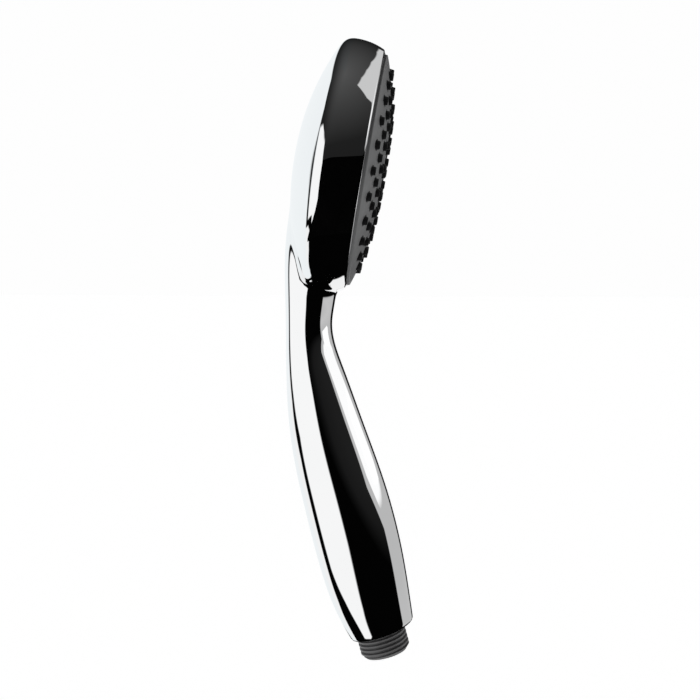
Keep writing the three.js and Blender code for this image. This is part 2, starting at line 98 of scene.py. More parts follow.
# Roundings where the dome meets the band and where the handle meets the head.
SHOULDER_BLEND = 4.5
NECK_BLEND = 5.0

# Wall of the shell, and where the hollow in the handle starts and ends.
WALL = 2.2
HOLLOW_START = 30.0
HOLLOW_END = 188.0

# Inlet, measured from its end face along its own axis.
INLET_LEAN = 15.0
THREAD_R = 20.955 / 2
THREAD_PITCH = 1.814
THREAD_DEPTH = 1.162
THREAD_START = 0.45
THREAD_END = 9.9
INLET_BORE_R = 7.2
INLET_BORE_END = 21.7
PLUG_R = 11.0
PLUG_START = 12.0
PLUG_END = 21.0
PLUG_SHOULDER = 1.5
PASSAGE_R = 4.4
CONNECTOR_R = 8.2
CONNECTOR_END = 37.0
TUBE_SOCKET_R = 5.8
TUBE_SOCKET_START = 26.0

# Rings of nozzles: radius, number, and turn of the first in spacings.
NOZZLE_RINGS = (
    (40.0, 25, 0.65),
    (33.3, 22, 0.85),
    (26.6, 18, 0.3),
    (19.9, 13, 0.5),
    (13.2, 8, 0.0),
    (6.5, 4, 0.5),
)
NOZZLE_BASE_R = 1.85
NOZZLE_TIP_R = 1.55
NOZZLE_PROUD = 1.4
NOZZLE_HOLE_R = NOZZLE_BASE_R + 0.35
MAT_R = 43.0
MAT_WALL = 1.6

# Spring of the check valve, between the poppet and the retainer.
SPRING_START = 12.0
SPRING_END = 16.7
SPRING_R = 2.4
SPRING_TURNS = 4
WIRE_R = 0.28

# Sections of the handle: centre x and z, lean, half depth and half width.
HANDLE = np.array(
    [
        (-1.7, 10.2, 19.5, 13.8, 13.6),
        (-5.7, 22.0, 18.0, 16.0, 15.2),
        (-11.0, 42.0, 14.5, 17.7, 16.6),
        (-17.5, 67.5, 14.0, 17.6, 16.8),
        (-24.9, 94.8, 14.0, 15.5, 15.8),
        (-30.0, 120.0, 8.5, 11.9, 14.6),
        (-32.3, 140.0, 2.5, 9.6, 14.4),
        (-31.6, 153.5, 0.0, 10.5, 15.6),
        (-32.2, 166.0, -2.0, 9.9, 15.5),
        (-31.6, 178.0, -5.0, 9.4, 13.5),
        (-30.0, 191.0, -9.0, 7.4, 9.0),
    ]
)
HANDLE_TOP_BLEND = 8.0
RIM_BLEND = 1.5


def axes_of(turn):
    """Three unit vectors of a frame turned about Y, as rows."""
    c, s = math.cos(math.radians(turn)), math.sin(math.radians(turn))
    return np.array([(c, 0, -s), (0, 1, 0), (s, 0, c)])


# Head frame: Z is the spray direction, X points down the face. Inlet frame: Z runs up into the handle.
HEAD_AXES = axes_of(90 + FACE_DIP)
INLET_AXES = axes_of(-INLET_LEAN)


def from_head(points):
    """Points of the head frame in the frame of the handset."""
    return points @ HEAD_AXES + FACE_CENTRE


def from_inlet(points):
    """Points of the inlet frame in the frame of the handset."""
    return points @ INLET_AXES


# ---------------------------------------------------------------- outer surface of the shell


def natural_spline(x, y, at):
    """Cubic spline through rows y at x, with no bend at its ends."""
    count = len(x)
    step = np.diff(x)
    system = np.eye(count)
    right = np.zeros_like(y)
    for i in range(1, count - 1):
        system[i, i - 1 : i + 2] = step[i - 1], 2 * (step[i - 1] + step[i]), step[i]
        right[i] = 6 * ((y[i + 1] - y[i]) / step[i] - (y[i] - y[i - 1]) / step[i - 1])
    bend = np.linalg.solve(system, right)
    k = np.clip(np.searchsorted(x, at) - 1, 0, count - 2)
    t = (at - x[k])[:, None]
    h = step[k][:, None]
    slope = (y[k + 1] - y[k]) / h - h * (2 * bend[k] + bend[k + 1]) / 6
    return y[k] + t * slope + t**2 * bend[k] / 2 + t**3 * (bend[k + 1] - bend[k]) / (6 * h)


SPINE_Z = np.linspace(HANDLE[0, 1] - 15, HANDLE[-1, 1] + 15, 4000)
SPINE = natural_spline(HANDLE[:, 1], HANDLE[:, [0, 2, 3, 4]], SPINE_Z)


def spine_at(z):
    """Centre x, lean in radians, half depth and half width of the section whose centre is at z."""
    x, lean, depth, width = (np.interp(z, SPINE_Z, SPINE[:, k]) for k in range(4))
    return x, np.radians(lean), depth, width


def smooth_max(a, b, blend):
    """The greater of two fields, with a rounded crease where they are within blend of each other."""
    h = np.maximum(blend - np.abs(a - b), 0) / blend
    return np.maximum(a, b) + h**3 * blend / 6


def smooth_min(a, b, blend):
    return -smooth_max(-a, -b, blend)


def head_field(p):
    """Below zero inside the head: a barrel-shaped band, a shallow dome behind and a flat front."""
    q = (p - FACE_CENTRE) @ HEAD_AXES.T
    r = np.hypot(q[:, 0], q[:, 1])
    z = q[:, 2]
    band = np.hypot(np.maximum(r - (BAND_R - BAND_SWEEP_R), 0), z - BAND_Z) - BAND_SWEEP_R
    slope = BACK_RISE * BACK_POWER / BACK_EDGE_R * (r / BACK_EDGE_R) ** (BACK_POWER - 1)
    back = (BACK_Z + BACK_RISE * (r / BACK_EDGE_R) ** BACK_POWER - z) / np.sqrt(1 + slope**2)
    fall = math.radians(LIP_SLOPE)
    lip = (z - HEAD_LIP_Z) * math.cos(fall) + np.maximum(r - HEAD_BORE_R, 0) * math.sin(fall)
    return smooth_max(smooth_max(band, back, SHOULDER_BLEND), lip, LIP_BLEND)


def handle_field(p):
    """Below zero inside the handle: oval sections along the spine, cut by the rim's plane.

    The loop finds the height of the section that each point lies in.
    """
    z = p[:, 2].copy()
    for _ in range(8):
        x, lean, depth, width = spine_at(z)
        z = z + 0.9 * ((p[:, 2] - z) * np.cos(lean) - (p[:, 0] - x) * np.sin(lean))
    fore = (p[:, 0] - x) * np.cos(lean) + (p[:, 2] - z) * np.sin(lean)
    side = p[:, 1]
    size = np.hypot(fore, side) + 1e-9
    oval = size * (1 - 1 / (np.hypot(fore / depth, side / width) + 1e-9))
    lean = math.radians(HANDLE[0, 2])
    rim = (p[:, 0] - HANDLE[0, 0]) * math.sin(lean) - (p[:, 2] - HANDLE[0, 1]) * math.cos(lean)
    top = p[:, 2] - HANDLE[-1, 1]
    return smooth_max(smooth_max(oval, rim, RIM_BLEND), top, HANDLE_TOP_BLEND)


def shell_field(p):
    """Below zero inside the whole handset."""
    return smooth_min(head_field(p), handle_field(p), NECK_BLEND)


def slope_of(field, p, step=0.01):
    """How fast a field rises along each axis."""
    sides = [(field(p + e) - field(p - e)) / (2 * step) for e in np.eye(3) * step]
    return np.stack(sides, 1)


def onto(field, p, rounds=6):
    """Moves points onto the surface where the field is zero."""
    for _ in range(rounds):
        g = slope_of(field, p)
        p = p - g * (field(p) / (g**2).sum(1))[:, None]
    return p


# ---------------------------------------------------------------- meshes


def new_object(name, points, faces):
    """Mesh object from points in millimetres."""
    mesh = bpy.data.meshes.new(name)
    mesh.from_pydata((np.asarray(points) * MM).tolist(), [], [list(f) for f in faces])
    mesh.validate()
    mesh.update()
    thing = bpy.data.objects.new(name, mesh)
    bpy.context.scene.collection.objects.link(thing)
    return thing


def ring_faces(rows, around, closed_rows=False):
    """Quads between neighbouring rings of points."""
    faces = []
    for i in range(rows if closed_rows else rows - 1):
        a, b = i * around, (i + 1) % rows * around
        for j in range(around):
            k = (j + 1) % around
            faces.append((a + j, a + k, b + k, b + j))
    return faces


def skinned(rings, closed_rows=False):
    """Skin over rings of points. Open ends are capped with one face each."""
    rows, around = len(rings), len(rings[0])
    faces = ring_faces(rows, around, closed_rows)
    if not closed_rows:
        faces.append(tuple(reversed(range(around))))
        faces.append(tuple(range((rows - 1) * around, rows * around)))
    return np.concatenate(rings), faces


def turned(profile, segments, turn=0.0):
    """Rings of a profile of (radius, height) turned about Z. A loop closes on itself."""
    angle = 2 * math.pi * (np.arange(segments) + turn) / segments
    rings = []
    for r, z in profile:
        rings.append(np.stack([r * np.cos(angle), r * np.sin(angle), np.full(segments, z)], 1))
    return rings


def dense(path, step):
    """The same path with a point about every step millimetres."""
    points = [np.array(path[0], float)]
    for start, end in zip(path[:-1], path[1:]):
        start, end = np.array(start, float), np.array(end, float)
        count = max(1, round(float(np.linalg.norm(end - start)) / step))
        points += [start + (end - start) * k / count for k in range(1, count + 1)]
    return points


def rounded(path, radius, steps=4):
    """A path of (r, z) points with its corners rounded. Its two ends stay."""
    points = [np.array(p, float) for p in path]
    result = [points[0]]
    for before, corner, after in zip(points[:-2], points[1:-1], points[2:]):
        a, b = before - corner, after - corner
        reach = min(radius, 0.45 * np.linalg.norm(a), 0.45 * np.linalg.norm(b))
        a, b = corner + a / np.linalg.norm(a) * reach, corner + b / np.linalg.norm(b) * reach
        for k in range(steps + 1):
            t = k / steps
            result.append((1 - t) ** 2 * a + 2 * t * (1 - t) * corner + t**2 * b)
    result.append(points[-1])
    return result


def face_outwards(thing):
    """Turns the faces round if the mesh is inside out."""
    mesh = thing.data
    count = len(mesh.vertices)
    points = np.empty(count * 3)
    mesh.vertices.foreach_get("co", points)
    points = points.reshape(-1, 3)
    volume = 0.0
    mesh.calc_loop_triangles()
    for tri in mesh.loop_triangles:
        a, b, c = points[list(tri.vertices)]
        volume += float(np.dot(a, np.cross(b, c)))
    if volume < 0:
        mesh.flip_normals()


def combine(thing, tool, operation):
    """Joins or cuts a thing with a tool, and throws the tool away."""
    face_outwards(thing)
    face_outwards(tool)
    step = thing.modifiers.new("step", "BOOLEAN")
    step.operation = operation
    step.solver = "MANIFOLD"
    step.object = tool
    depsgraph = bpy.context.evaluated_depsgraph_get()
    mesh = bpy.data.meshes.new_from_object(thing.evaluated_get(depsgraph))
    thing.modifiers.clear()
    old = thing.data
    thing.data = mesh
    mesh.name = old.name
    bpy.data.meshes.remove(old)
    bpy.data.objects.remove(tool)


def smooth_by_angle(thing, degrees):
    thing.data.shade_smooth()
    thing.data.set_sharp_from_angle(angle=math.radians(degrees))


def points_of(mesh):
    """Vertices of a mesh in millimetres."""
    points = np.empty(len(mesh.vertices) * 3)
    mesh.vertices.foreach_get("co", points)
    return points.reshape(-1, 3) / MM


def wear(thing, material):
    thing.data.materials.clear()
    thing.data.materials.append(material)


# ---------------------------------------------------------------- shader helpers


class Nodes:
    """Short words for building a node tree."""

    def __init__(self, tree):
        self.tree = tree

    def add(self, kind, **values):
        node = self.tree.nodes.new(kind)
        for key, value in values.items():
            setattr(node, key, value)
        return node

    def put(self, socket, value):
        if isinstance(value, bpy.types.NodeSocket):
            self.tree.links.new(value, socket)
        else:
            socket.default_value = value

    def math(self, operation, *inputs, clamp=False):
        node = self.add("ShaderNodeMath", operation=operation, use_clamp=clamp)
        for socket, value in zip(node.inputs, inputs):
            self.put(socket, value)
        return node.outputs[0]

    def span(self, value, low, high, to_low=0.0, to_high=1.0, smooth=False):
        node = self.add("ShaderNodeMapRange")
        node.interpolation_type = "SMOOTHSTEP" if smooth else "LINEAR"
        for socket, v in zip(node.inputs, (value, low, high, to_low, to_high)):
            self.put(socket, v)
        return node.outputs[0]

    def noise(self, scale, detail=3.0, roughness=0.5, stretch=(1, 1, 1)):
        place = self.add("ShaderNodeTexCoord")
        mapping = self.add("ShaderNodeMapping")
        self.put(mapping.inputs["Vector"], place.outputs["Object"])
        mapping.inputs["Scale"].default_value = stretch
        node = self.add("ShaderNodeTexNoise")
        self.put(node.inputs["Vector"], mapping.outputs[0])
        node.inputs["Scale"].default_value = scale
        node.inputs["Detail"].default_value = detail
        node.inputs["Roughness"].default_value = roughness
        return node.outputs["Fac"]

    def bump(self, height, distance, strength=1.0):
        node = self.add("ShaderNodeBump")
        node.inputs["Strength"].default_value = strength
        node.inputs["Distance"].default_value = distance
        self.put(node.inputs["Height"], height)
        return node.outputs["Normal"]

    def blend_colours(self, factor, one, two):
        node = self.add("ShaderNodeMix", data_type="RGBA")
        self.put(node.inputs[0], factor)
        self.put(node.inputs[6], (*one, 1))
        self.put(node.inputs[7], (*two, 1))
        return node.outputs[2]


def new_material(name):
    material = bpy.data.materials.new(name)
    material.use_nodes = True
    nodes = Nodes(material.node_tree)
    shader = material.node_tree.nodes["Principled BSDF"]
    return material, nodes, shader


# ---------------------------------------------------------------- materials


def chrome_material():
    """Plated chrome: near mirror, with faint wiping marks and the slight swim of plated plastic."""
    material, n, shader = new_material("polished_chrome")
    shader.inputs["Metallic"].default_value = 1.0
    film = n.noise(28, detail=4)
    n.put(shader.inputs["Base Color"], n.blend_colours(film, (0.915, 0.92, 0.925), (0.955, 0.958, 0.96)))
    marks = n.noise(90, detail=5, roughness=0.65, stretch=(1, 1, 0.25))
    n.put(shader.inputs["Roughness"], n.span(marks, 0.35, 0.75, 0.012, 0.045))
    swim = n.noise(35, detail=1.5)
    n.put(shader.inputs["Normal"], n.bump(swim, 0.00004, 0.35))
    return material


def plastic_material(name, dark, light, rough, grain=900, depth=0.00003, specular=0.5):
    """Moulded plastic: fine spark-eroded grain, slow colour drift and uneven sheen."""
    material, n, shader = new_material(name)
    drift = n.noise(40, detail=2)
    n.put(shader.inputs["Base Color"], n.blend_colours(drift, dark, light))
    sheen = n.noise(220, detail=3)
    n.put(shader.inputs["Roughness"], n.span(sheen, 0.3, 0.7, rough - 0.05, rough + 0.06))
    shader.inputs["Specular IOR Level"].default_value = specular
    n.put(shader.inputs["Normal"], n.bump(n.noise(grain, detail=2), depth, 0.5))
    return material


def rubber_material(name, dark, light):
    """Silicone or rubber: soft highlight and a dusty bloom."""
    material, n, shader = new_material(name)
    bloom = n.noise(160, detail=4, roughness=0.6)
    n.put(shader.inputs["Base Color"], n.blend_colours(bloom, dark, light))
    n.put(shader.inputs["Roughness"], n.span(bloom, 0.3, 0.7, 0.5, 0.68))
    shader.inputs["Specular IOR Level"].default_value = 0.35
    n.put(shader.inputs["Normal"], n.bump(n.noise(1200, detail=2), 0.00002, 0.5))
    return material


def steel_material():
    """Drawn stainless steel with fine lines."""
    material, n, shader = new_material("drawn_stainless")
    shader.inputs["Metallic"].default_value = 1.0
    lines = n.noise(400, detail=4, stretch=(1, 1, 12))
    n.put(shader.inputs["Base Color"], n.blend_colours(lines, (0.50, 0.50, 0.51), (0.66, 0.66, 0.67)))
    n.put(shader.inputs["Roughness"], n.span(lines, 0.3, 0.7, 0.22, 0.38))
    n.put(shader.inputs["Normal"], n.bump(lines, 0.00001, 0.4))
    return material


CHROME = chrome_material()
FACE_GREY = plastic_material("satin_grey_abs", (0.145, 0.146, 0.148), (0.165, 0.166, 0.168), 0.42)
INLET_GREY = plastic_material("inlet_grey_plastic", (0.15, 0.15, 0.152), (0.175, 0.175, 0.177), 0.48)
WHITE_POM = plastic_material("natural_acetal", (0.70, 0.69, 0.65), (0.80, 0.79, 0.76), 0.38)
BLUE_POM = plastic_material("blue_acetal", (0.05, 0.14, 0.33), (0.07, 0.19, 0.42), 0.36)
SILICONE = rubber_material("black_silicone", (0.004, 0.004, 0.0045), (0.009, 0.009, 0.0095))
RUBBER = rubber_material("nitrile_rubber", (0.014, 0.014, 0.014), (0.028, 0.028, 0.027))
STEEL = steel_material()


# ---------------------------------------------------------------- body shell


def head_solid():
    """The head as a filled solid of revolution. Its rough outline is moved onto the head's own surface."""
    front = HEAD_LIP_Z
    path = [(0.0, BACK_Z), (40.0, -23.0), (48.5, -19.0), (51.3, -15.5), (BAND_R, BAND_Z)]
    path += [(51.0, -8.0), (49.4, -2.9)]
    edge = [(49.0, -1.95), (HEAD_BORE_R + 0.1, front), (46.0, front)]
    profile = dense(path, 0.55)[1:] + dense([path[-1], *edge], 0.12)[1:]
    profile = np.array(profile)
    flat = np.stack([profile[:, 0], np.zeros(len(profile)), profile[:, 1]], 1)
    flat = (onto(head_field, from_head(flat)) - FACE_CENTRE) @ HEAD_AXES.T
    rings = [from_head(ring) for ring in turned(flat[:, [0, 2]], 240)]
    return new_object("body_shell_chrome", *skinned(rings))


def handle_rings(low, high, count, sides, inset=0.0):
    """Rings round sections of the handle between two heights."""
    rings = []
    angle = 2 * math.pi * np.arange(sides) / sides
    for z in np.linspace(low, high, count):
        x, lean, depth, width = (float(v[0]) for v in spine_at(np.array([z])))
        fore = (depth - inset) * np.cos(angle)
        side = (width - inset) * np.sin(angle)
        ring = np.stack([x + fore * math.cos(lean), side, z + fore * math.sin(lean)], 1)
        rings.append(ring)
    return rings


def handle_solid():
    """The handle as a filled solid on its own surface, its rim rounded."""
    base = handle_rings(HANDLE[0, 1], HANDLE[-1, 1] - 1, 200, 120)
    centre = base[0].mean(0)
    rim = [centre + (base[0] - centre) * s for s in (0.80, 0.86, 0.90, 0.93, 0.955, 0.975, 0.99)]
    rings = rim + base
    count = len(rings)
    points = onto(handle_field, np.concatenate(rings))
    return new_object("handle", *skinned(list(points.reshape(count, -1, 3))))


def give_field_normals(mesh, field, near=0.02):
    """Exact normals where the mesh lies on the field's surface, flat ones elsewhere."""
    points = points_of(mesh)
    slope = slope_of(field, points)
    slope /= np.linalg.norm(slope, axis=1)[:, None] + 1e-12
    on_surface = np.abs(field(points)) < near
    loop_count = len(mesh.loops)
    corner = np.empty(loop_count, int)
    mesh.loops.foreach_get("vertex_index", corner)
    starts = np.empty(len(mesh.polygons), int)
    totals = np.empty(len(mesh.polygons), int)
    normals = np.empty(len(mesh.polygons) * 3)
    mesh.polygons.foreach_get("loop_start", starts)
    mesh.polygons.foreach_get("loop_total", totals)
    mesh.polygons.foreach_get("normal", normals)
    owner = np.repeat(np.arange(len(starts)), totals)
    flat = normals.reshape(-1, 3)[owner]
    agree = (slope[corner] * flat).sum(1) > 0.5
    good = np.logical_and.reduceat(on_surface[corner] & agree, starts)
    chosen = np.where(good[owner][:, None], slope[corner], flat)
    mesh.shade_smooth()
    mesh.normals_split_custom_set(chosen.tolist())


def body_shell():
    """Head and handle in one moulding, open at the face and at the inlet."""
    shell = head_solid()
    combine(shell, handle_solid(), "UNION")
    points = onto(shell_field, points_of(shell.data))
    shell.data.vertices.foreach_set("co", (points * MM).ravel())
    shell.data.update()

    # Hollows behind the face plate, along the handle and round the plug of the inlet.
    cavity = rounded([(0.05, -28.1), (27.5, -25.0), (40.8, -20.0), (HEAD_BORE_R, -15.5)], 3)
    cavity += [(HEAD_BORE_R, 1.0), (0.05, 1.0)]
    hollow = [from_head(ring) for ring in turned(cavity, 192)]
    combine(shell, new_object("hollow", *skinned(hollow)), "DIFFERENCE")
    inner = handle_rings(HOLLOW_START, HOLLOW_END, 60, 48, WALL)
    combine(shell, new_object("hollow", *skinned(inner)), "DIFFERENCE")
    bore_r = PLUG_R + GAP
    bore = [from_inlet(ring) for ring in turned([(bore_r, -5), (bore_r, CONNECTOR_END - 1)], 96)]
    combine(shell, new_object("hollow", *skinned(bore)), "DIFFERENCE")

    give_field_normals(shell.data, shell_field)
    wear(shell, CHROME)
    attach(shell, "handset")
    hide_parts("body_shell")


# ---------------------------------------------------------------- spray face


def face_height(r):
    """Height of the domed face at a radius."""
    return FACE_DOME * (1 - (r / FACE_R) ** FACE_DOME_POWER)


def dome_path(to_radius, drop, steps):
    """Points on the dome, lowered by drop, from its middle to a radius and closer together further out."""
    radii = to_radius * np.linspace(0, 1, steps + 1) ** 0.75
    radii[0] = 0.05
    return [(r, face_height(r) - drop) for r in radii]


def nozzle_places():
    """Radius and angle of every nozzle."""
    for radius, count, turn in NOZZLE_RINGS:
        for k in range(count):
            angle = 2 * math.pi * (k + turn) / count
            yield radius, angle


def at_nozzles(profile_at, segments):
    """One closed turned piece at every nozzle place, in the head frame."""
    points, faces = [], []
    start = 0
    for radius, angle in nozzle_places():
        piece, skin = skinned(turned(profile_at(face_height(radius)), segments))
        points.append(piece + np.array([radius * math.cos(angle), radius * math.sin(angle), 0]))
        faces += [tuple(start + k for k in f) for f in skin]
        start += len(piece)
    return np.concatenate(points), faces


def face_plate():
    """Domed plate with a skirt, and a countersunk hole for each nozzle."""
    inside = dome_path(SKIRT_R, FACE_WALL, 24)
    edge_z = face_height(FACE_R)
    skirt = [(SKIRT_R, SKIRT_Z), (FACE_R, SKIRT_Z), (FACE_R, edge_z), (FACE_R - 0.6, edge_z + 0.22)]
    rim = rounded(skirt, 0.35)
    outside = dome_path(FACE_R - 0.7, 0, 40)[::-1]
    loop = inside + rim + outside
    rings = [from_head(ring) for ring in turned(loop, 192)]
    plate = new_object("face_plate_grey", *skinned(rings))

    def hole(height):
        low, top = height - 6, height + 2
        return [(NOZZLE_HOLE_R, low), (NOZZLE_HOLE_R, height - 0.25), (NOZZLE_HOLE_R + 0.9, top)]

    points, faces = at_nozzles(hole, 28)
    combine(plate, new_object("holes", from_head(points), faces), "DIFFERENCE")
    smooth_by_angle(plate, 30)
    wear(plate, FACE_GREY)
    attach(plate, "handset")
    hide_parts("face_plate")


def nozzle_mat():
    """Domed sheet behind the plate with all the nozzles on it."""
    drop = FACE_WALL + GAP
    back = dome_path(MAT_R, drop + MAT_WALL, 16)
    front = dome_path(MAT_R, drop, 16)[::-1]
    sheet, skin = skinned(turned(back + front, 96))
    sheet_count = len(sheet)

    def nozzle(height):
        base, top = height - drop - 0.4, height + NOZZLE_PROUD
        path = [(NOZZLE_BASE_R, base), (NOZZLE_BASE_R, height - 0.6), (NOZZLE_TIP_R, top)]
        path += [(0.55, top), (0.5, top - 1.4), (0.02, top - 1.4)]
        return rounded(path, 0.32, 3)

    pins, pin_skin = at_nozzles(nozzle, 20)
    points = np.concatenate([sheet, pins])
    faces = list(skin) + [tuple(sheet_count + k for k in f) for f in pin_skin]
    mat = new_object("nozzle_mat_silicone", from_head(points), faces)
    smooth_by_angle(mat, 40)
    wear(mat, SILICONE)
    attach(mat, "handset")
    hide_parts("nozzle_mat")


# ---------------------------------------------------------------- inlet


def thread_grid(low, high, segments=96, per_turn=12):
    """A helical thread between two heights, as columns of points and their faces."""
    root = THREAD_R - THREAD_DEPTH
    turns = math.ceil((high - low) / THREAD_PITCH) + 2
    rows = turns * per_turn
    fade = 0.7 * THREAD_PITCH
    points = []
    for j in range(segments):
        angle = 2 * math.pi * j / segments
        for k in range(rows + 1):
            raw = low - THREAD_PITCH + THREAD_PITCH * (k / per_turn + j / segments)
            z = min(max(raw, low), high)
            wave = 0.5 - 0.5 * math.cos(2 * math.pi * k / per_turn)
            crest = min(1.0, max(0.0, 1.9 * wave - 0.42))
            crest *= min(1.0, (z - low) / fade, (high - z) / fade)
            r = root + THREAD_DEPTH * crest
            points.append((r * math.cos(angle), r * math.sin(angle), z))
    faces = []
    for j in range(segments):
        nearby, shift = (j + 1, 0) if j + 1 < segments else (0, per_turn)
        for k in range(rows - shift):
            a, b = j * (rows + 1) + k, nearby * (rows + 1) + k + shift
            faces.append((a, b, b + 1, a + 1))
    return np.array(points), faces


def inlet_connector():
    """Threaded inlet, the plug that fills the handle's mouth and the socket for the waterway tube."""
    segments = 96
    root = THREAD_R - THREAD_DEPTH
    outside = [(root, THREAD_END), (root, PLUG_START), (PLUG_R, PLUG_START), (PLUG_R, PLUG_END)]
    outside += [(CONNECTOR_R, PLUG_END + PLUG_SHOULDER), (CONNECTOR_R, CONNECTOR_END)]
    inside = [(TUBE_SOCKET_R, CONNECTOR_END), (TUBE_SOCKET_R, TUBE_SOCKET_START)]
    inside += [(PASSAGE_R, TUBE_SOCKET_START), (PASSAGE_R, INLET_BORE_END), (INLET_BORE_R, INLET_BORE_END)]
    mouth = [(INLET_BORE_R, 0.35), (INLET_BORE_R + 0.3, 0.0), (root - 0.4, 0.0), (root, THREAD_START)]
    path = outside + inside + mouth
    rings = turned(path, segments)
    tube = np.concatenate(rings)
    faces = ring_faces(len(rings), segments)
    thread, thread_faces = thread_grid(THREAD_START, THREAD_END, segments)
    faces += [tuple(len(tube) + k for k in f) for f in thread_faces]
    points = from_inlet(np.concatenate([tube, thread]))
    inlet = new_object("inlet_connector_grey", points, faces)
    weld(inlet, 0.002)
    face_outwards(inlet)
    smooth_by_angle(inlet, 40)
    wear(inlet, INLET_GREY)
    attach(inlet, "handset")
    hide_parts("inlet_connector")


def weld(thing, distance):
    """Merges points that lie together, so that the thread and the tube close on each other."""
    edit = bmesh.new()
    edit.from_mesh(thing.data)
    bmesh.ops.remove_doubles(edit, verts=edit.verts, dist=distance * MM)
    bmesh.ops.dissolve_degenerate(edit, edges=edit.edges, dist=1e-7)
    bmesh.ops.recalc_face_normals(edit, faces=edit.faces)
    edit.to_mesh(thing.data)
    edit.free()


def check_valve_spring():
    """Coil between the poppet and its retainer. On the real valve it shortens as the poppet lifts; this
    coil is made at one length.
    """
    steps = 36 * SPRING_TURNS
    rise = SPRING_END - SPRING_START - 2 * WIRE_R
    climb = rise / (2 * math.pi * SPRING_TURNS * SPRING_R)
    turn = 2 * math.pi * np.arange(12) / 12
    rings = []
    for k in range(steps + 1):
        angle = 2 * math.pi * SPRING_TURNS * k / steps
        outward = np.array([math.cos(angle), math.sin(angle), 0])
        ahead = np.array([-math.sin(angle), math.cos(angle), climb])
        upward = np.cross(outward, ahead / np.linalg.norm(ahead))
        centre = SPRING_R * outward
        centre[2] = SPRING_START + WIRE_R + rise * k / steps
        ring = np.outer(np.cos(turn), outward) + np.outer(np.sin(turn), upward)
        rings.append(from_inlet(centre + WIRE_R * ring))
    spring = new_object("check_valve_spring_steel", *skinned(rings))
    face_outwards(spring)
    smooth_by_angle(spring, 40)
    wear(spring, STEEL)
    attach(spring, "handset")
    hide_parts("check_valve_spring")
    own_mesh(spring)


# ---------------------------------------------------------------- pieces kept from the CAD

CAD_LOOKS = {
    "white_plastic": WHITE_POM,
    "blue_plastic": BLUE_POM,
    "black_rubber": RUBBER,
    "stainless": STEEL,
}


def dress_cad_nodes():
    """Gives the CAD pieces that stay in view the looks of their slots."""
    slots = {entry["node"]: entry["material_slot"] for entry in frame["record"]["subparts"]}
    for name, thing in frame["nodes"].items():
        look = CAD_LOOKS.get(slots[name])
        if look:
            wear(thing, look)


# ---------------------------------------------------------------- studio


class Studio(Nodes):
    """Light panels given by direction. Azimuth 0 is towards -Y and 90 towards +X."""

    def __init__(self, tree):
        super().__init__(tree)
        place = self.add("ShaderNodeTexCoord")
        axis = self.add("ShaderNodeSeparateXYZ")
        self.put(axis.inputs[0], place.outputs["Generated"])
        x, y, z = axis.outputs
        turn = self.math("ARCTAN2", x, self.math("MULTIPLY", y, -1.0))
        self.azimuth = self.math("DEGREES", turn)
        self.height = self.math("DEGREES", self.math("ARCSINE", z))

    def along(self, value, points, low, high):
        """A value read off straight lines through points."""
        node = self.add("ShaderNodeFloatCurve")
        curve = node.mapping.curves[0]
        first, last = points[0][0], points[-1][0]
        places = [((x - first) / (last - first), (y - low) / (high - low)) for x, y in points]
        curve.points[0].location = places[0]
        curve.points[1].location = places[-1]
        for place in places[1:-1]:
            curve.points.new(*place)
        for point in curve.points:
            point.handle_type = "VECTOR"
        node.mapping.update()
        self.put(node.inputs["Value"], self.span(value, first, last))
        return self.span(node.outputs[0], 0.0, 1.0, low, high)

    def side(self, value, edge, sign, soft):
        """1 on one side of an edge, 0 on the other."""
        gap = self.math("SUBTRACT", value, edge)
        return self.span(gap, -soft * sign, soft * sign, smooth=True)

    def panel(self, west, east, bottom, top, light, soft=1.2):
        """A panel between two edges that may lean: each is a list of (height, azimuth)."""
        inside = self.side(self.height, bottom, 1, soft)
        inside = self.math("MULTIPLY", inside, self.side(self.height, top, -1, soft))
        for edge, sign in ((west, 1), (east, -1)):
            if edge is not None:
                azimuth = self.along(self.height, edge, -190, 190)
                inside = self.math("MULTIPLY", inside, self.side(self.azimuth, azimuth, sign, soft))
        return self.math("MULTIPLY", inside, light)


